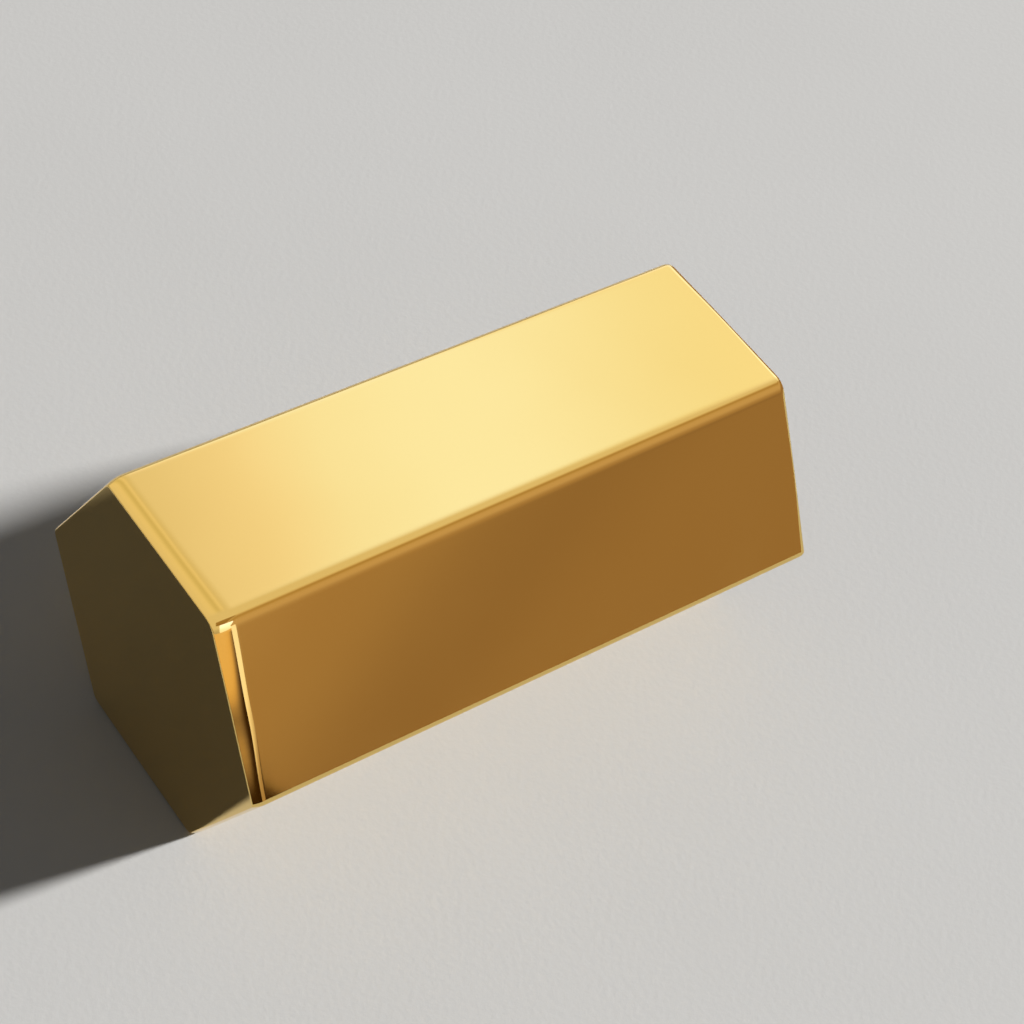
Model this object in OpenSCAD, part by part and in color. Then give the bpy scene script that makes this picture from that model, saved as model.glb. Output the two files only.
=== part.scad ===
// Hexagonal brass pen holder: a drawn hexagonal sleeve, closed at one end by a soldered base plate.
// It lies on one of its flats: Z = 0 is the surface under it, -X its closed base end, +X its open mouth.

/* [Sleeve] */
// Width of the sleeve across two opposite outer flats
across_flats = 52.5; // [40:0.5:80]
// Length of the holder, from the base's outer face to the rim
length = 104; // [60:1:160]
// Thickness of the sleeve's wall
wall = 3; // [2:0.1:5]
// Radius of the six long outer corners
corner_r = 2.5; // [1:0.1:5]
// Radius in the six corners of the bore
bore_corner_r = 1; // [0.5:0.1:4]
// Reach of the polished base edge along the sides, which it runs into slowly
base_edge_reach = 2.5; // [0.5:0.1:5]
// Depth of the polished base edge in the end face, where it turns fast
base_edge_depth = 0.6; // [0.2:0.1:0.9]
// Radius of the broken outer edge of the rim
rim_edge_r = 0.4; // [0.2:0.05:0.8]
// Width of the bevel that breaks the inner edge of the rim
rim_bevel = 0.4; // [0.2:0.05:0.8]

/* [Base] */
// Thickness of the base plate
base_t = 5; // [2:0.5:12]
// Gap round the base plate, which the solder fills
solder_gap = 0.1; // [0.05:0.05:0.4]
// Leg of the solder fillet, along the wall and along the plate
fillet_leg = 1.5; // [0.6:0.1:3]

/* [Hidden] */
SIDES = 6;
TURN = 360 / SIDES;
// Steps in a full turn: a multiple of twelve puts a step on each flat, so that the flats keep their distance
$fn = 36;
// Height of the fillet's centre of curvature, in legs: at 1 its face would run out into the wall
fillet_centre = 1.5;
// How far a cutting shape goes past the face that it cuts
past = 1;

flat = across_flats / 2;
bore_flat = flat - wall;
plate_flat = bore_flat - solder_gap;
plate_corner_r = bore_corner_r - solder_gap;

SLEEVE_BRASS = [0.87, 0.66, 0.28];
PLATE_BRASS = [0.80, 0.60, 0.25];
SOLDER_ALLOY = [0.86, 0.80, 0.62];

// Lays the upright holder down on a flat, centred over the origin, with its mouth towards +X
module laid_down()
    translate([-length / 2, 0, flat])
        rotate([0, 90, 0])
            children();

// Puts a copy at the centre of each corner's arc
module at_corners(flat, corner_r)
    for (i = [0:SIDES - 1])
        rotate((i + 0.5) * TURN)
            translate([(flat - corner_r) / cos(TURN / 2), 0])
                children();

// Filled hexagon with round corners; flat is the distance from its centre to a side
module round_hexagon(flat, corner_r) {
    half_side = (flat - corner_r) * tan(TURN / 2);
    polygon([for (i = [0:SIDES - 1], end = [-1, 1])
        flat * [cos(i * TURN), sin(i * TURN)] + end * half_side * [-sin(i * TURN), cos(i * TURN)]]);
    at_corners(flat, corner_r) circle(corner_r);
}

// What a rounded edge loses: a square corner less the quarter of an ellipse in it
module edge_loss(depth, reach)
    difference() {
        square([depth + past, reach + past]);
        scale([depth, reach]) circle(1);
    }

// Round post of one outer corner, with the base's rounded edge below and the rim's above
module corner_post()
    rotate_extrude()
        difference() {
            square([corner_r, length]);
            translate([corner_r - base_edge_depth, base_edge_reach])
                mirror([0, 1]) edge_loss(base_edge_depth, base_edge_reach);
            translate([corner_r - rim_edge_r, length - rim_edge_r])
                edge_loss(rim_edge_r, rim_edge_r);
        }

// Hexagonal space inside the sleeve, flared by the bevel at the mouth
module bore() {
    flare = rim_bevel + past;
    translate([0, 0, -past])
        linear_extrude(length + 2 * past)
            round_hexagon(bore_flat, bore_corner_r);
    hull() {
        translate([0, 0, length - rim_bevel - past])
            linear_extrude(past) round_hexagon(bore_flat, bore_corner_r);
        translate([0, 0, length + past])
            linear_extrude(past) round_hexagon(bore_flat + flare, bore_corner_r + flare);
    }
}

// Hexagonal tube with round corners and a rounded base edge
module hex_sleeve()
    color(SLEEVE_BRASS) laid_down()
        difference() {
            hull() at_corners(flat, corner_r) corner_post();
            bore();
        }

// Plate that closes the base end, flush with the sleeve's end face
module base_plate()
    color(PLATE_BRASS) laid_down()
        linear_extrude(base_t)
            round_hexagon(plate_flat, plate_corner_r);

// Section through the solder fillet on one side, hollow between the wall and the plate
module fillet_section() {
    centre = fillet_centre * fillet_leg;
    difference() {
        translate([-fillet_leg, 0]) square([fillet_leg + past, fillet_leg]);
        translate([-centre, centre]) circle(norm([centre, centre - fillet_leg]));
    }
}

// Fillet all the way round the plate, mitred in the corners of the bore
module solder_fillet()
    intersection() {
        linear_extrude(fillet_leg) round_hexagon(bore_flat, bore_corner_r);
        for (i = [0:SIDES - 1])
            rotate(i * TURN)
                translate([bore_flat, 0, 0]) rotate([90, 0, 0])
                    linear_extrude(2 * bore_flat, center = true) fillet_section();
    }

// Solder that joins the plate to the sleeve: it fills the gap and stands as a fillet inside
module solder_seam()
    color(SOLDER_ALLOY) laid_down() {
        linear_extrude(base_t)
            difference() {
                round_hexagon(bore_flat, bore_corner_r);
                round_hexagon(plate_flat, plate_corner_r);
            }
        translate([0, 0, base_t]) solder_fillet();
    }

hex_sleeve();
base_plate();
solder_seam();
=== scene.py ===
"""Looks of a hexagonal brass pen holder that lies on one of its flats: sleeve, base plate and solder."""

import math

import bpy
import numpy as np
from mathutils import Matrix, Quaternion, Vector


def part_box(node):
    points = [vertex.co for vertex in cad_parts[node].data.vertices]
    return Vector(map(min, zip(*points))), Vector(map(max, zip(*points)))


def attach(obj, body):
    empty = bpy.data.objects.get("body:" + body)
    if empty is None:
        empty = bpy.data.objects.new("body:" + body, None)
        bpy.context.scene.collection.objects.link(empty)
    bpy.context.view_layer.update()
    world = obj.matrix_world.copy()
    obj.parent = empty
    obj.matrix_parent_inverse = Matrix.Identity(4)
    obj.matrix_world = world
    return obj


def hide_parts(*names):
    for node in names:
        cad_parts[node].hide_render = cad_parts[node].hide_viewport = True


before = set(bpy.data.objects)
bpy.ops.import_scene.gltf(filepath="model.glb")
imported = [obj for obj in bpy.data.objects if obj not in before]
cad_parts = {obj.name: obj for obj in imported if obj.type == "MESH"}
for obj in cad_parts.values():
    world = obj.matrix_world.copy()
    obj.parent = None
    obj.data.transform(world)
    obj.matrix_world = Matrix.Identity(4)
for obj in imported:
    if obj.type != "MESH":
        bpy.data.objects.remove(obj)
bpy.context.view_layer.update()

MM = 0.001
SIDES = 6
TURN = 2 * math.pi / SIDES
QUARTER = math.pi / 2

# Sizes that the frame gives
sleeve_low, sleeve_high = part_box("hex_sleeve")
plate_low, plate_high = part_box("base_plate")
seam_low, seam_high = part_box("solder_seam")
AXIS_Z = (sleeve_low.z + sleeve_high.z) / 2
FLAT = (sleeve_high.z - sleeve_low.z) / 2
BORE_FLAT = (seam_high.z - seam_low.z) / 2
PLATE_FLAT = (plate_high.z - plate_low.z) / 2
BORE_HALF_WIDTH = (seam_high.y - seam_low.y) / 2
BORE_CORNER_R = (BORE_FLAT - BORE_HALF_WIDTH * math.cos(TURN / 2)) / (1 - math.cos(TURN / 2))
SOLDER_GAP = BORE_FLAT - PLATE_FLAT
BASE_X = sleeve_low.x
MOUTH_X = sleeve_high.x
PLATE_X = plate_high.x
FILLET_LEG = seam_high.x - PLATE_X

# Radii of the six long corners, from the one in front at the top, as polishing has left them
CORNER_RADII = [3.5 * MM, 1.2 * MM, 2.5 * MM, 2.5 * MM, 2.5 * MM, 2.8 * MM]
# A polished corner starts to turn earlier than a plain arc of the same radius, by this ratio
CORNER_ROLL = 1.15
# Reach of the polished edges along the sides, from the top: at a side's middle and at the corner after it
BASE_REACHES = [length * MM for length in (3.7, 4.0, 3.3, 2.3, 2.2, 2.4, 2.4, 2.8, 3.2, 3.6, 3.6, 3.6)]
RIM_REACHES = [length * MM for length in (0.7, 0.9, 0.45, 0.9, 0.8, 1.4, 0.7, 1.2, 0.7, 1.4, 0.8, 1.2)]
# Such an edge turns fast from the end face into a slant, in this share of its way, and then slowly
EDGE_SLANT = math.radians(68)
EDGE_NOSE = 0.12
# Bevel inside the rim and broken inner edge of the plate
RIM_BEVEL = 0.5 * MM
PLATE_BREAK = 0.12 * MM

# Steps of the meshes; FINE, in which curves are summed up, is a multiple of CORNER_STEPS and SMALL_STEPS
FINE = 240
FLAT_STEPS = 16
CORNER_STEPS = 16
NOSE_STEPS = 8
SLANT_STEPS = 20
LENGTH_STEPS = 64
SMALL_STEPS = 6
FACE_STEPS = 12
# Edges that turn more than this aren't shaded smooth
SHARP_ANGLE = math.radians(35)
# Numbers of a piece's two materials
FIRST = 0
SECOND = 1

# Waves that hand polishing leaves on the flats: length along the holder, length round it, height
POLISH_WAVES = [
    (83 * MM, 61 * MM, 0.014 * MM),
    (47 * MM, -38 * MM, 0.007 * MM),
    (29 * MM, 23 * MM, 0.003 * MM),
]
# Power with which the waves rise from both ends: under 1 they are soon at full height
WAVE_RISE = 0.5
# Lumps of the solder: how many round the seam, share of the fillet's leg
SOLDER_LUMPS = [(11, 0.10), (23, 0.07), (41, 0.04)]
# Radius of the solder's corners, as a share of the bore's corner radius and the solder's depth together
SOLDER_POOL = 0.9

# Colours, linear
BRASS = (0.88, 0.625, 0.205)
BRASS_DEEP = (0.85, 0.585, 0.18)
DRAWN_BRASS = (0.90, 0.64, 0.22)
DRAWN_DARK = (0.78, 0.52, 0.15)
HEAT_TINT = (0.62, 0.36, 0.13)
SOLDER = (0.80, 0.70, 0.44)
SOLDER_DULL = (0.62, 0.52, 0.30)
FLOOR = (0.68, 0.67, 0.65)
FLOOR_SHADE = (0.668, 0.658, 0.638)

# Textures: a NOISE is features per metre and octaves, a SPAN its values between which it takes effect,
# a SHARE or ROUGHNESS what it gives at the two ends of that span, and a HEIGHT the size of its bumps
# Polished brass
SMUDGE_NOISE = (45, 4.0)
SMUDGE_SPAN = (0.35, 0.75)
SMUDGE_ROUGHNESS = (0.04, 0.08)
HAIRLINE_NOISE = (2600, 2.0)
HAIRLINE_STRETCH = (60, 1, 1)
HAIRLINE_SPAN = (0.55, 0.8)
HAIRLINE_ROUGHNESS = (0.0, 0.02)
HAIRLINE_HEIGHT = 0.0002 * MM
TONE_NOISE = (28, 2.0)
TONE_SPAN = (0.3, 0.75)
TONE_SHARE = (0.0, 0.5)
# Drawn and rolled brass
LINE_NOISE = (800, 2.0)
LINE_STRETCH = 200
LINE_COLOUR_SPAN = (0.4, 0.7)
LINE_COLOUR_SHARE = (0.0, 0.5)
LINE_ROUGH_SPAN = (0.3, 0.7)
LINE_ROUGHNESS = (0.26, 0.34)
LINE_HEIGHT = 0.003 * MM
TARNISH_NOISE = (90, 4.0)
TARNISH_COLOUR_SPAN = (0.3, 0.75)
TARNISH_ROUGH_SPAN = (0.3, 0.8)
TARNISH_ROUGHNESS = (0.0, 0.08)
# Share of the metal that no film dulls
TARNISH_BARE = 0.85
# Stretch along X, from the solder on, over which the heat tint fades
HEAT_SPAN = (PLATE_X + FILLET_LEG, PLATE_X + 16 * MM)
HEAT_SHARE = (0.6, 0.0)
HEAT_CLOUD_SPAN = (0.2, 0.8)
HEAT_CLOUD_SHARE = (0.3, 1.0)
# Solder
RIPPLE_NOISE = (900, 2.0)
RIPPLE_HEIGHT = 0.05 * MM
PATCH_NOISE = (300, 3.0)
PATCH_COLOUR_SPAN = (0.35, 0.7)
PATCH_ROUGH_SPAN = (0.3, 0.75)
PATCH_ROUGHNESS = (0.22, 0.45)
# Floor
FLOOR_CLOUD_NOISE = (14, 4.0)
FLOOR_CLOUD_SPAN = (0.3, 0.7)
FLOOR_GRAIN_NOISE = (900, 2.0)
FLOOR_GRAIN_HEIGHT = 0.03 * MM
FLOOR_ROUGHNESS = 0.9
FLOOR_SIDE = 4.0
FLOOR_DROP = 0.05 * MM

# Light: colours are linear, ways are azimuth from +X and elevation in degrees
TENT = (0.83, 0.77, 0.66)
HORIZON = (0.52, 0.47, 0.39)
AMBIENT = (0.10, 0.10, 0.10)
# Upward part of a direction in which the horizon's colour passes into the tent's
HORIZON_SPAN = (0.0, 0.45)
# Diffuse bounces over which light that only metal may show falls to nothing
BOUNCE_SPAN = (0.0, 1.0)
LAMP_WAY = (-24.5, 28)
LAMP_DISTANCE = 12.0
LAMP_SIZE = 1.05
LAMP_POWER = 2340
# Colours that several places of the cards have
WARM = (0.92, 0.84, 0.66)
COOL = (1.22, 1.32, 1.68)
BROWN = (0.35, 0.225, 0.13)
UMBER = (0.05, 0.025, 0.008)
# Graduated cards that show only in the metal: shares of the card's height and the colours there
KEY_SHADES = [
    (0.0, TENT),
    (0.18, WARM),
    (0.32, (0.75, 0.68, 0.46)),
    (0.41, WARM),
    (0.47, (0.82, 0.76, 0.62)),
    (0.54, (0.92, 0.88, 0.84)),
    (0.567, (1.05, 1.05, 1.13)),
    (0.59, (1.10, 1.22, 1.50)),
    (0.65, (1.12, 1.28, 1.66)),
    (0.71, (1.07, 1.12, 1.14)),
    (0.75, (1.15, 1.20, 1.30)),
    (0.80, COOL),
    (1.0, COOL),
]
FRONT_SHADES = [
    (0.0, BROWN),
    (0.30, BROWN),
    (0.325, (0.32, 0.205, 0.12)),
    (0.35, (0.40, 0.265, 0.155)),
    (0.37, (0.44, 0.292, 0.17)),
    (0.42, (0.54, 0.385, 0.25)),
    (0.47, (0.62, 0.45, 0.30)),
    (0.59, (0.60, 0.435, 0.27)),
    (0.67, (0.50, 0.345, 0.16)),
    (0.73, (0.56, 0.41, 0.24)),
    (0.81, (0.76, 0.66, 0.50)),
    (0.92, TENT),
]
AMBER_SHADES = [
    (0.0, UMBER),
    (0.66, UMBER),
    (0.73, (0.20, 0.13, 0.08)),
    (0.77, (0.35, 0.24, 0.14)),
    (0.80, (0.58, 0.38, 0.19)),
    (0.85, (0.88, 0.59, 0.27)),
    (1.0, (0.92, 0.66, 0.38)),
]
STRIP_SHADES = [
    (0.0, (0.45, 0.32, 0.20)),
    (0.48, (0.49, 0.35, 0.23)),
    (0.55, (1.10, 1.00, 0.95)),
    (0.60, (1.20, 1.17, 1.25)),
    (1.0, (1.25, 1.20, 1.30)),
]
RIM_LIGHT = [(0.0, (1.4, 1.5, 2.0)), (1.0, (1.6, 1.8, 2.6))]
CORNER_LIGHT = [(0.0, (1.2, 1.2, 1.2)), (0.4, (1.4, 1.5, 2.0)), (1.0, (1.6, 1.8, 3.0))]
CORNER_SHADE = [(0.0, (0.36, 0.22, 0.08)), (1.0, (0.42, 0.28, 0.12))]
RIM_SHADE = [(0.0, BROWN), (1.0, (0.40, 0.27, 0.16))]
SIDE_SHADES = [(0.0, (0.20, 0.13, 0.06)), (0.35, (0.34, 0.25, 0.14)), (1.0, TENT)]
# Way and roll of the key card, and the share of its width past which it runs out into the tent
KEY_WAY = (48, 46.6)
KEY_ROLL = 122
KEY_FADE = 0.62
# Cards: way, roll, distance, size, middle of the card aside and up from the way, colours, fade if any
CARDS = {
    "key_card": (KEY_WAY, KEY_ROLL, 0.80, (1.10, 1.40), (-0.05, -0.20), KEY_SHADES, KEY_FADE),
    "rim_light": (KEY_WAY, KEY_ROLL, 0.79, (0.21, 0.27), (0.02, 0.32), RIM_LIGHT),
    "front_card": ((-60, 0), 30, 0.60, (1.42, 1.30), (0.59, 0.30), FRONT_SHADES),
    "edge_strip": ((-80.5, 0), 0, 0.58, (0.09, 0.30), (0, 0.05), STRIP_SHADES),
    "amber_card": ((-110, 0), 10, 0.60, (0.86, 0.20), (0.11, 0.01), AMBER_SHADES),
    "corner_light": ((-94, 26), 0, 0.70, (0.37, 0.37), (0, -0.045), CORNER_LIGHT),
    "corner_shade": ((-94, 52), 0, 0.90, (0.64, 0.36), (0, -0.06), CORNER_SHADE),
    "rim_shade": ((-2, 4), 0, 0.75, (1.20, 0.60), (0, 0), RIM_SHADE),
    "left_card": ((-160, 10), 0, 0.90, (1.30, 0.64), (0, 0), SIDE_SHADES),
    "back_card": ((140, 10), 0, 0.90, (1.00, 0.64), (0, 0), SIDE_SHADES),
}

# Camera: its place, the way from what it sees back to it, its roll, and its sensor and lens in millimetres
CAMERA_PLACE = Vector((-191.54 * MM, -212.27 * MM, 351.28 * MM))
CAMERA_WAY = (-134.192, 47.749)
CAMERA_ROLL = math.radians(12.632)
SENSOR = 36.0
LENS = 96.161

# Sockets of a Mix node that take colours and give one
MIX_COLOURS = (6, 7)
MIX_RESULT = 2


def smooth(share):
    """Runs from 0 to 1 with level ends."""
    return share * share * (3 - 2 * share)


def rolled_corner(turn, steps):
    """Points (along, aside) of a corner with no jump in its curvature, as shares of its reach."""
    heading = turn * smooth((np.arange(FINE) + 0.5) / FINE)
    path = np.cumsum([np.cos(heading), np.sin(heading)], axis=1).T
    path = np.vstack([[0.0, 0.0], path])
    # With a reach of 1 on both sides, a corner ends this far from its start
    chord = 2 * math.cos(turn / 2)
    path *= chord / np.linalg.norm(path[-1])
    return path[:: FINE // steps]


def dubbed_edge():
    """Points (outward, along the sides) of a polished edge, as shares of its reach."""
    way = (np.arange(FINE) + 0.5) / FINE
    nose = EDGE_SLANT * smooth(np.clip(way / EDGE_NOSE, 0, 1))
    slant = (QUARTER - EDGE_SLANT) * smooth(np.clip((way - EDGE_NOSE) / (1 - EDGE_NOSE), 0, 1))
    path = np.cumsum([np.cos(nose + slant), np.sin(nose + slant)], axis=1).T
    path = np.vstack([[0.0, 0.0], path])
    nose_end = round(FINE * EDGE_NOSE)
    picked = np.concatenate([
        np.linspace(0, nose_end, NOSE_STEPS + 1)[:-1],
        np.linspace(nose_end, FINE, SLANT_STEPS + 1),
    ])
    return path[np.round(picked).astype(int)] / path[-1, 1]


def hexagon_ring(flat, corner_radii):
    """Points (y, z) round a hexagon with rolled corners, from its top flat towards -Y."""
    half_side = flat * math.tan(TURN / 2)
    reaches = [CORNER_ROLL * radius * math.tan(TURN / 2) for radius in corner_radii]
    roll = rolled_corner(TURN, CORNER_STEPS)[:-1]
    points = []
    for side, reach in enumerate(reaches):
        out = np.array([-math.sin(side * TURN), math.cos(side * TURN)])
        along = np.array([-out[1], out[0]])
        straight = np.linspace(reaches[side - 1] - half_side, half_side - reach, FLAT_STEPS + 1)
        points += [flat * out + s * along for s in straight[:-1]]
        start = flat * out + straight[-1] * along
        points += [start + reach * (ahead * along - inward * out) for ahead, inward in roll]
    return np.array(points)


def ways_out(ring):
    """Unit directions (y, z) that point out of a ring."""
    along = np.roll(ring, -1, 0) - np.roll(ring, 1, 0)
    out = np.column_stack([along[:, 1], -along[:, 0]])
    return out / np.linalg.norm(out, axis=1, keepdims=True)


def way_round(ring):
    """Distance of each point from the ring's first, along the ring."""
    steps = np.linalg.norm(np.diff(ring, axis=0), axis=1)
    return np.concatenate([[0], np.cumsum(steps)])


def spread(values, ring):
    """Spreads values, one per middle of a side and one per corner, over a ring's points, level at each."""
    half = (FLAT_STEPS + CORNER_STEPS) // 2
    from_middle = np.roll(ring, -(FLAT_STEPS // 2), 0)
    closed = np.vstack([from_middle, from_middle[:1]])
    runs = []
    for number, value in enumerate(values):
        way = way_round(closed[number * half : (number + 1) * half + 1])
        change = values[(number + 1) % len(values)] - value
        runs.append(value + change * smooth(way[:-1] / way[-1]))
    return np.roll(np.concatenate(runs), FLAT_STEPS // 2)


def placed(ring, x, lift=0.0):
    """Points in the frame of a ring at x, moved out by lift; both may differ from point to point."""
    ring = ring + ways_out(ring) * np.reshape(np.broadcast_to(lift, len(ring)), (-1, 1))
    return np.column_stack([np.broadcast_to(x, len(ring)), ring[:, 0], ring[:, 1] + AXIS_Z])


def polish_wave(x, around):
    """Height of the polishing waves, each a radian ahead of the last, at x and a distance round the ring."""
    return sum(
        height * np.sin(2 * math.pi * (x / along + around / across) + number)
        for number, (along, across, height) in enumerate(POLISH_WAVES)
    )


def linked(name, data):
    """A new object of the scene."""
    made = bpy.data.objects.new(name, data)
    bpy.context.scene.collection.objects.link(made)
    return made


def band_faces(count, rings, looped):
    """Faces between each ring of count points and the next, and from the last to the first if looped."""
    faces = []
    for band in range(rings if looped else rings - 1):
        here = band * count
        there = (band + 1) % rings * count
        for i in range(count):
            j = (i + 1) % count
            faces.append((here + i, here + j, there + j, there + i))
    return faces


def fan_faces(hub, first, count, turned):
    """Triangles from a hub to the count points of a ring, the other way round if turned."""
    faces = []
    for i in range(count):
        pair = (first + i, first + (i + 1) % count)
        faces.append((hub, *(pair[::-1] if turned else pair)))
    return faces


def smooth_mesh(name, points, faces, materials, slots):
    """A mesh that is smooth but for its sharp edges, with the number of a material for each face."""
    mesh = bpy.data.meshes.new(name)
    mesh.from_pydata(points.tolist(), [], faces)
    for material in materials:
        mesh.materials.append(material)
    mesh.polygons.foreach_set("material_index", slots)
    mesh.polygons.foreach_set("use_smooth", [True] * len(faces))
    mesh.set_sharp_from_angle(angle=SHARP_ANGLE)
    mesh.update()
    return mesh


def lofted(name, rings, looped, materials, bands):
    """A closed piece over rings, with fans at its ends unless looped; bands numbers each band's material."""
    count = len(rings[0])
    points = np.concatenate(rings)
    faces = band_faces(count, len(rings), looped)
    slots = [slot for slot in bands for _ in range(count)]
    if not looped:
        hub = len(points)
        points = np.vstack([points, rings[0].mean(0), rings[-1].mean(0)])
        faces += fan_faces(hub, 0, count, True)
        faces += fan_faces(hub + 1, hub - count, count, False)
        slots += [bands[0]] * count + [bands[-1]] * count
    return linked(name, smooth_mesh(name, points, faces, materials, slots))


def dress(piece, node):
    """Makes a piece stand for a node of the frame."""
    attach(piece, "root")
    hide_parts(node)


def edge_rings(ring, end, inward, reach):
    """Rings of a polished edge, from the end face at X = end to the sides; inward is 1 or -1 along X."""
    edge = dubbed_edge()
    lifts = edge[:, 0] - edge[-1, 0]
    return [
        placed(ring, end + inward * reach * along, reach * lift)
        for along, lift in zip(edge[:, 1], lifts)
    ]


def flat_rings(ring, start, end):
    """Rings along the wavy flats between the polished edges; the ring at the end is the rim edge's own."""
    around = way_round(ring)
    rings = []
    for share in np.linspace(0, 1, LENGTH_STEPS + 1)[:-1]:
        x = (1 - share) * start + share * end
        rise = math.sin(math.pi * share) ** WAVE_RISE
        rings.append(placed(ring, x, polish_wave(x, around) * rise))
    return rings


def polished_sleeve(outside, inside):
    """Hexagonal tube: base edge, outer flats, rim and bore, all the way round its wall."""
    outer = hexagon_ring(FLAT, CORNER_RADII)
    bore = hexagon_ring(BORE_FLAT, [BORE_CORNER_R] * SIDES)
    base_reach = spread(BASE_REACHES, outer)
    rim_reach = spread(RIM_REACHES, outer)
    rings = edge_rings(outer, BASE_X, 1, base_reach)[:-1]
    rings += flat_rings(outer, BASE_X + base_reach, MOUTH_X - rim_reach)
    rings += edge_rings(outer, MOUTH_X, -1, rim_reach)[::-1]
    for inward, back in rolled_corner(QUARTER, SMALL_STEPS):
        rings.append(placed(bore, MOUTH_X - RIM_BEVEL * back, RIM_BEVEL * (1 - inward)))
    polished_bands = len(rings) - 1
    for x in np.linspace(MOUTH_X - RIM_BEVEL, BASE_X, FACE_STEPS + 1)[1:]:
        rings.append(placed(bore, x))
    bands = [FIRST] * polished_bands + [SECOND] * (len(rings) - polished_bands - 1) + [FIRST]
    return lofted("sleeve_polished", rings, True, [outside, inside], bands)


def polished_plate(outside, inside):
    """Plate in the sleeve's base end, ground flush outside, with its inner edge broken."""
    rings = []
    corner_r = BORE_CORNER_R - SOLDER_GAP

    def add(flat, x):
        rings.append(placed(hexagon_ring(flat, [corner_r * flat / PLATE_FLAT] * SIDES), x))

    shares = np.linspace(0, 1, FACE_STEPS + 1)[1:]
    for share in shares:
        add(PLATE_FLAT * share, BASE_X)
    outside_bands = len(rings) - 1
    for ahead, inward in rolled_corner(QUARTER, SMALL_STEPS):
        add(PLATE_FLAT - PLATE_BREAK * inward, PLATE_X - PLATE_BREAK * (1 - ahead))
    for share in shares[-2::-1]:
        add((PLATE_FLAT - PLATE_BREAK) * share, PLATE_X)
    bands = [FIRST] * outside_bands + [SECOND] * (len(rings) - 1 - outside_bands)
    return lofted("base_plate_polished", rings, False, [outside, inside], bands)


def solder_run(inside, outside):
    """Solder between plate and sleeve: a lumpy hollow fillet inside, ground flush and polished outside."""
    rings = []
    way = way_round(hexagon_ring(BORE_FLAT, [BORE_CORNER_R] * SIDES))
    turn = way / way[-1] * 2 * math.pi
    lump = sum(height * np.sin(count * turn + count) for count, height in SOLDER_LUMPS)

    def add(depth, x, lift=0.0):
        corner_r = max(BORE_CORNER_R - depth, SOLDER_POOL * (BORE_CORNER_R + depth))
        rings.append(placed(hexagon_ring(BORE_FLAT - depth, [corner_r] * SIDES), x, lift))

    add(0, BASE_X)
    for share in np.linspace(0, 1, FACE_STEPS + 1):
        depth = FILLET_LEG * share**2
        rise = FILLET_LEG * (1 - share) ** 2
        add(depth, PLATE_X + rise * (1 + lump), -depth * lump)
    add(SOLDER_GAP, PLATE_X)
    add(SOLDER_GAP, BASE_X)
    bands = [FIRST] * (len(rings) - 1) + [SECOND]
    return lofted("solder_run", rings, True, [inside, outside], bands)


def new_material(name):
    """An empty node material: itself, its tree and its output."""
    material = bpy.data.materials.new(name)
    material.use_nodes = True
    tree = material.node_tree
    tree.nodes.clear()
    return material, tree, tree.nodes.new("ShaderNodeOutputMaterial")


def coordinate(tree, space, axis):
    """One coordinate of the place that is shaded."""
    place = tree.nodes.new("ShaderNodeTexCoord")
    axes = tree.nodes.new("ShaderNodeSeparateXYZ")
    tree.links.new(place.outputs[space], axes.inputs["Vector"])
    return axes.outputs[axis]


def noise(tree, scale, detail, stretch=(1, 1, 1)):
    """Noise over the object's own coordinates: features per metre, fewer on a stretched axis; octaves."""
    place = tree.nodes.new("ShaderNodeTexCoord")
    mapping = tree.nodes.new("ShaderNodeMapping")
    mapping.inputs["Scale"].default_value = [scale / s for s in stretch]
    texture = tree.nodes.new("ShaderNodeTexNoise")
    texture.inputs["Scale"].default_value = 1.0
    texture.inputs["Detail"].default_value = detail
    tree.links.new(place.outputs["Object"], mapping.inputs["Vector"])
    tree.links.new(mapping.outputs["Vector"], texture.inputs["Vector"])
    return texture.outputs["Fac"]


def ranged(tree, value, span, result=(0.0, 1.0)):
    """Maps a value from a span to a result, smoothly and with ends that hold."""
    node = tree.nodes.new("ShaderNodeMapRange")
    node.interpolation_type = "SMOOTHSTEP"
    for name, number in zip(("From Min", "From Max", "To Min", "To Max"), (*span, *result)):
        node.inputs[name].default_value = number
    tree.links.new(value, node.inputs["Value"])
    return node.outputs["Result"]


def added(tree, a, b, operation="ADD"):
    """Sum, or another result, of two values."""
    node = tree.nodes.new("ShaderNodeMath")
    node.operation = operation
    tree.links.new(a, node.inputs[0])
    tree.links.new(b, node.inputs[1])
    return node.outputs["Value"]


def mixed(tree, share, first, second):
    """Colour between two, by a share; each is a colour or another node's output."""
    node = tree.nodes.new("ShaderNodeMix")
    node.data_type = "RGBA"
    tree.links.new(share, node.inputs["Factor"])
    for socket, colour in zip(MIX_COLOURS, (first, second)):
        if isinstance(colour, tuple):
            node.inputs[socket].default_value = (*colour, 1)
        else:
            tree.links.new(colour, node.inputs[socket])
    return node.outputs[MIX_RESULT]


def bumped(tree, shader, height, size):
    """Tilts a shader's surface by a height of so many metres."""
    bump = tree.nodes.new("ShaderNodeBump")
    bump.inputs["Distance"].default_value = size
    tree.links.new(height, bump.inputs["Height"])
    tree.links.new(bump.outputs["Normal"], shader.inputs["Normal"])


def metal(tree, output, colour, roughness, bare=1.0):
    """Shader of a metal with a colour and a roughness; a film dulls the share of it that isn't bare."""
    shader = tree.nodes.new("ShaderNodeBsdfPrincipled")
    shader.inputs["Metallic"].default_value = bare
    tree.links.new(colour, shader.inputs["Base Color"])
    tree.links.new(roughness, shader.inputs["Roughness"])
    tree.links.new(shader.outputs["BSDF"], output.inputs["Surface"])
    return shader


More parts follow.
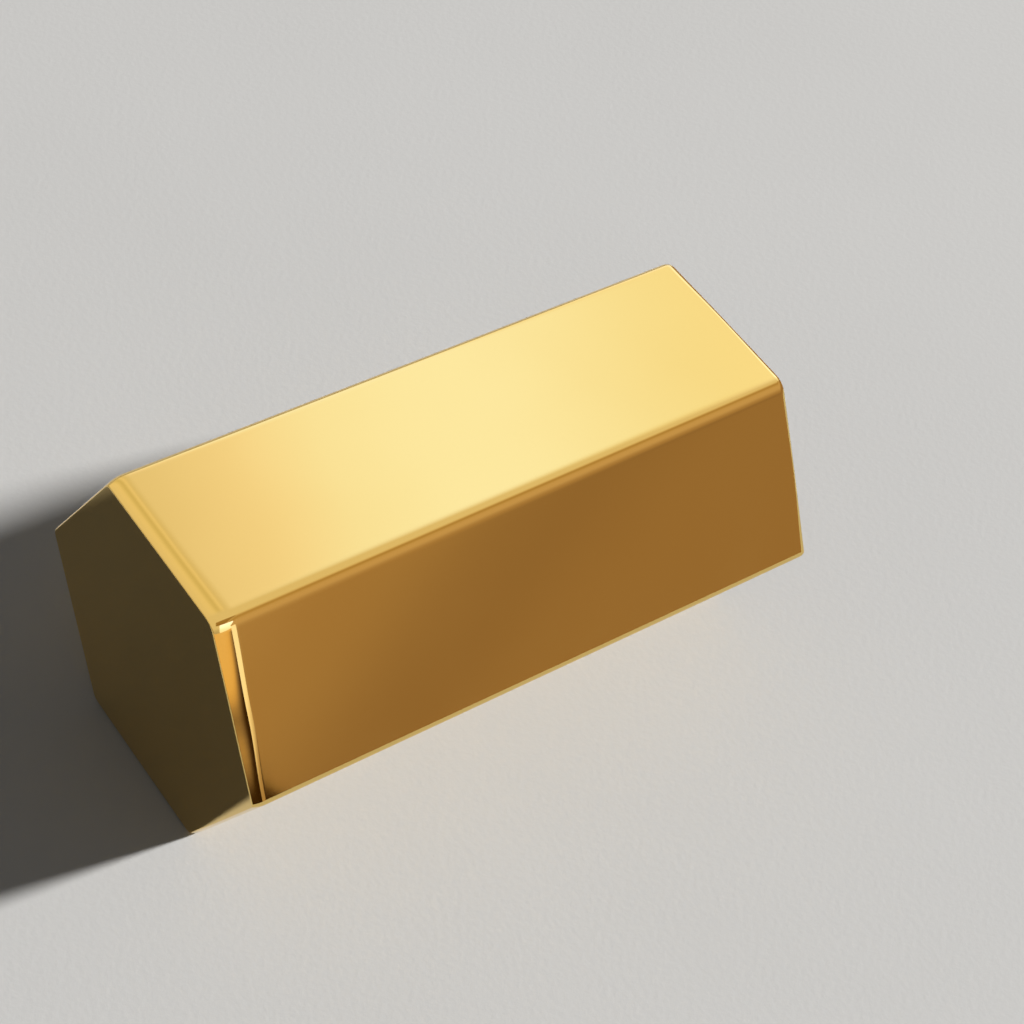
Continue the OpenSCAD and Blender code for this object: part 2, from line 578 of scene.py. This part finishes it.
def polished_brass():
    """Mirror-polished brass: faint smudges, hairlines along the holder, a little uneven colour."""
    material, tree, output = new_material("polished_brass")
    smudge = noise(tree, *SMUDGE_NOISE)
    hairline = noise(tree, *HAIRLINE_NOISE, stretch=HAIRLINE_STRETCH)
    tone = noise(tree, *TONE_NOISE)
    roughness = added(
        tree,
        ranged(tree, smudge, SMUDGE_SPAN, SMUDGE_ROUGHNESS),
        ranged(tree, hairline, HAIRLINE_SPAN, HAIRLINE_ROUGHNESS),
    )
    colour = mixed(tree, ranged(tree, tone, TONE_SPAN, TONE_SHARE), BRASS, BRASS_DEEP)
    bumped(tree, metal(tree, output, colour, roughness), hairline, HAIRLINE_HEIGHT)
    return material


def drawn_brass(name, stretch):
    """Unpolished brass inside: drawing lines, tarnish, and a heat tint near the solder."""
    material, tree, output = new_material(name)
    line = noise(tree, *LINE_NOISE, stretch=stretch)
    cloud = noise(tree, *TARNISH_NOISE)
    near_base = ranged(tree, coordinate(tree, "Object", "X"), HEAT_SPAN, HEAT_SHARE)
    tint = added(tree, near_base, ranged(tree, cloud, HEAT_CLOUD_SPAN, HEAT_CLOUD_SHARE), "MULTIPLY")
    worn = mixed(tree, ranged(tree, cloud, TARNISH_COLOUR_SPAN), DRAWN_BRASS, DRAWN_DARK)
    lined = mixed(tree, ranged(tree, line, LINE_COLOUR_SPAN, LINE_COLOUR_SHARE), worn, DRAWN_DARK)
    colour = mixed(tree, tint, lined, HEAT_TINT)
    roughness = added(
        tree,
        ranged(tree, line, LINE_ROUGH_SPAN, LINE_ROUGHNESS),
        ranged(tree, cloud, TARNISH_ROUGH_SPAN, TARNISH_ROUGHNESS),
    )
    bumped(tree, metal(tree, output, colour, roughness, TARNISH_BARE), line, LINE_HEIGHT)
    return material


def solder_metal():
    """Solder: pale, softly rippled, duller in patches."""
    material, tree, output = new_material("solder_metal")
    ripple = noise(tree, *RIPPLE_NOISE)
    patch = noise(tree, *PATCH_NOISE)
    colour = mixed(tree, ranged(tree, patch, PATCH_COLOUR_SPAN), SOLDER, SOLDER_DULL)
    roughness = ranged(tree, patch, PATCH_ROUGH_SPAN, PATCH_ROUGHNESS)
    bumped(tree, metal(tree, output, colour, roughness), ripple, RIPPLE_HEIGHT)
    return material


def towards(azimuth, elevation):
    """Direction at an azimuth from +X and an elevation, in degrees."""
    a = math.radians(azimuth)
    e = math.radians(elevation)
    return Vector((math.cos(a) * math.cos(e), math.sin(a) * math.cos(e), math.sin(e)))


def set_up(thing, place, turned):
    """Puts an object in its place, turned by a quaternion."""
    thing.location = place
    thing.rotation_mode = "QUATERNION"
    thing.rotation_quaternion = turned


def flat_card(name, width, height, material):
    """A staged rectangle round the origin, facing +Z."""
    mesh = bpy.data.meshes.new(name)
    corners = [(x * width / 2, y * height / 2, 0) for x, y in ((-1, -1), (1, -1), (1, 1), (-1, 1))]
    mesh.from_pydata(corners, [], [(0, 1, 2, 3)])
    mesh.materials.append(material)
    made = linked(name, mesh)
    return made


def part_of(brightest, colour):
    """A colour as a part of the brightest channel."""
    return tuple(channel / brightest for channel in colour)


def graduated(tree, value, shades, brightest):
    """Colour at a value from 0 to 1 among shades, as a part of the brightest channel."""
    ramp = tree.nodes.new("ShaderNodeValToRGB")
    ramp.color_ramp.interpolation = "CARDINAL"
    stops = ramp.color_ramp.elements
    for number, (share, colour) in enumerate(shades):
        stop = stops[number] if number < len(stops) else stops.new(share)
        stop.position = share
        stop.color = (*part_of(brightest, colour), 1)
    tree.links.new(value, ramp.inputs["Fac"])
    return ramp.outputs["Color"]


def unspread(tree, strength=1.0):
    """Strength of light as metal and camera see it: nothing after a diffuse bounce."""
    path = tree.nodes.new("ShaderNodeLightPath")
    return ranged(tree, path.outputs["Diffuse Depth"], BOUNCE_SPAN, (strength, 0.0))


def card_glow(name, shades, fade):
    """Light graduated over a card's height; past fade, a share of its width, it runs out into the tent."""
    material, tree, output = new_material(name)
    brightest = max(max(colour) for share, colour in shades)
    colour = graduated(tree, coordinate(tree, "Generated", "Y"), shades, brightest)
    if fade:
        aside = ranged(tree, coordinate(tree, "Generated", "X"), (fade, 1.0))
        colour = mixed(tree, aside, colour, part_of(brightest, TENT))
    glow = tree.nodes.new("ShaderNodeEmission")
    tree.links.new(colour, glow.inputs["Color"])
    tree.links.new(unspread(tree, brightest), glow.inputs["Strength"])
    tree.links.new(glow.outputs["Emission"], output.inputs["Surface"])
    return material


def glowing_card(name, way, roll, distance, size, middle, shades, fade=None):
    """A graduated light that shows only in the metal: it lies across a way and is rolled about it."""
    card = flat_card(name, *size, card_glow(name, shades, fade))
    turned = towards(*way).to_track_quat("Z", "Y") @ Quaternion((0, 0, 1), math.radians(roll))
    set_up(card, turned @ Vector((*middle, distance)), turned)
    card.visible_camera = False
    card.visible_diffuse = False
    card.visible_shadow = False


def lay_floor():
    """Plain pale floor, a little under the holder."""
    material, tree, output = new_material("floor")
    cloud = noise(tree, *FLOOR_CLOUD_NOISE)
    shader = tree.nodes.new("ShaderNodeBsdfPrincipled")
    shader.inputs["Roughness"].default_value = FLOOR_ROUGHNESS
    shader.inputs["Specular IOR Level"].default_value = 0.0
    colour = mixed(tree, ranged(tree, cloud, FLOOR_CLOUD_SPAN), FLOOR, FLOOR_SHADE)
    tree.links.new(colour, shader.inputs["Base Color"])
    bumped(tree, shader, noise(tree, *FLOOR_GRAIN_NOISE), FLOOR_GRAIN_HEIGHT)
    tree.links.new(shader.outputs["BSDF"], output.inputs["Surface"])
    floor = flat_card("floor", FLOOR_SIDE, FLOOR_SIDE, material)
    floor.location.z = -FLOOR_DROP


def light_world():
    """Pale tent, deeper at the horizon, that camera and metal see; what it sheds on the floor is dimmer."""
    world = bpy.data.worlds.new("studio")
    bpy.context.scene.world = world
    world.use_nodes = True
    tree = world.node_tree
    tree.nodes.clear()
    output = tree.nodes.new("ShaderNodeOutputWorld")
    background = tree.nodes.new("ShaderNodeBackground")
    path = tree.nodes.new("ShaderNodeLightPath")
    seen = added(tree, path.outputs["Is Camera Ray"], path.outputs["Is Glossy Ray"])
    seen = added(tree, seen, path.outputs["Is Transmission Ray"])
    seen = added(tree, seen, unspread(tree), "MULTIPLY")
    tent = mixed(tree, ranged(tree, coordinate(tree, "Generated", "Z"), HORIZON_SPAN), HORIZON, TENT)
    tree.links.new(mixed(tree, seen, AMBIENT, tent), background.inputs["Color"])
    tree.links.new(background.outputs["Background"], output.inputs["Surface"])


def hang_lamp():
    """Soft lamp far off, past the mouth and a little in front: it lights the floor and gives the shadow."""
    data = bpy.data.lights.new("lamp", "AREA")
    data.shape = "DISK"
    data.size = LAMP_SIZE
    data.energy = LAMP_POWER
    lamp = linked("lamp", data)
    way = towards(*LAMP_WAY)
    set_up(lamp, way * LAMP_DISTANCE, way.to_track_quat("Z", "Y"))
    lamp.visible_glossy = False


def set_camera():
    """Camera at the photograph's place, with its tilt."""
    back = towards(*CAMERA_WAY)
    level = Vector((0, 0, 1)).cross(back).normalized()
    above = back.cross(level)
    right = level * math.cos(CAMERA_ROLL) + above * math.sin(CAMERA_ROLL)
    up = above * math.cos(CAMERA_ROLL) - level * math.sin(CAMERA_ROLL)
    data = bpy.data.cameras.new("camera")
    data.sensor_width = SENSOR
    data.lens = LENS
    camera = linked("camera", data)
    turned = Matrix((right, up, back)).transposed()
    camera.matrix_world = Matrix.Translation(CAMERA_PLACE) @ turned.to_4x4()
    bpy.context.scene.camera = camera


polished = polished_brass()
drawn = drawn_brass("drawn_brass", (LINE_STRETCH, 1, 1))
rolled = drawn_brass("rolled_brass", (1, LINE_STRETCH, 1))
dress(polished_sleeve(polished, drawn), "hex_sleeve")
dress(polished_plate(polished, rolled), "base_plate")
dress(solder_run(solder_metal(), polished), "solder_seam")

lay_floor()
light_world()
hang_lamp()
for name, values in CARDS.items():
    glowing_card(name, *values)
set_camera()
bpy.context.scene.view_settings.view_transform = "Standard"
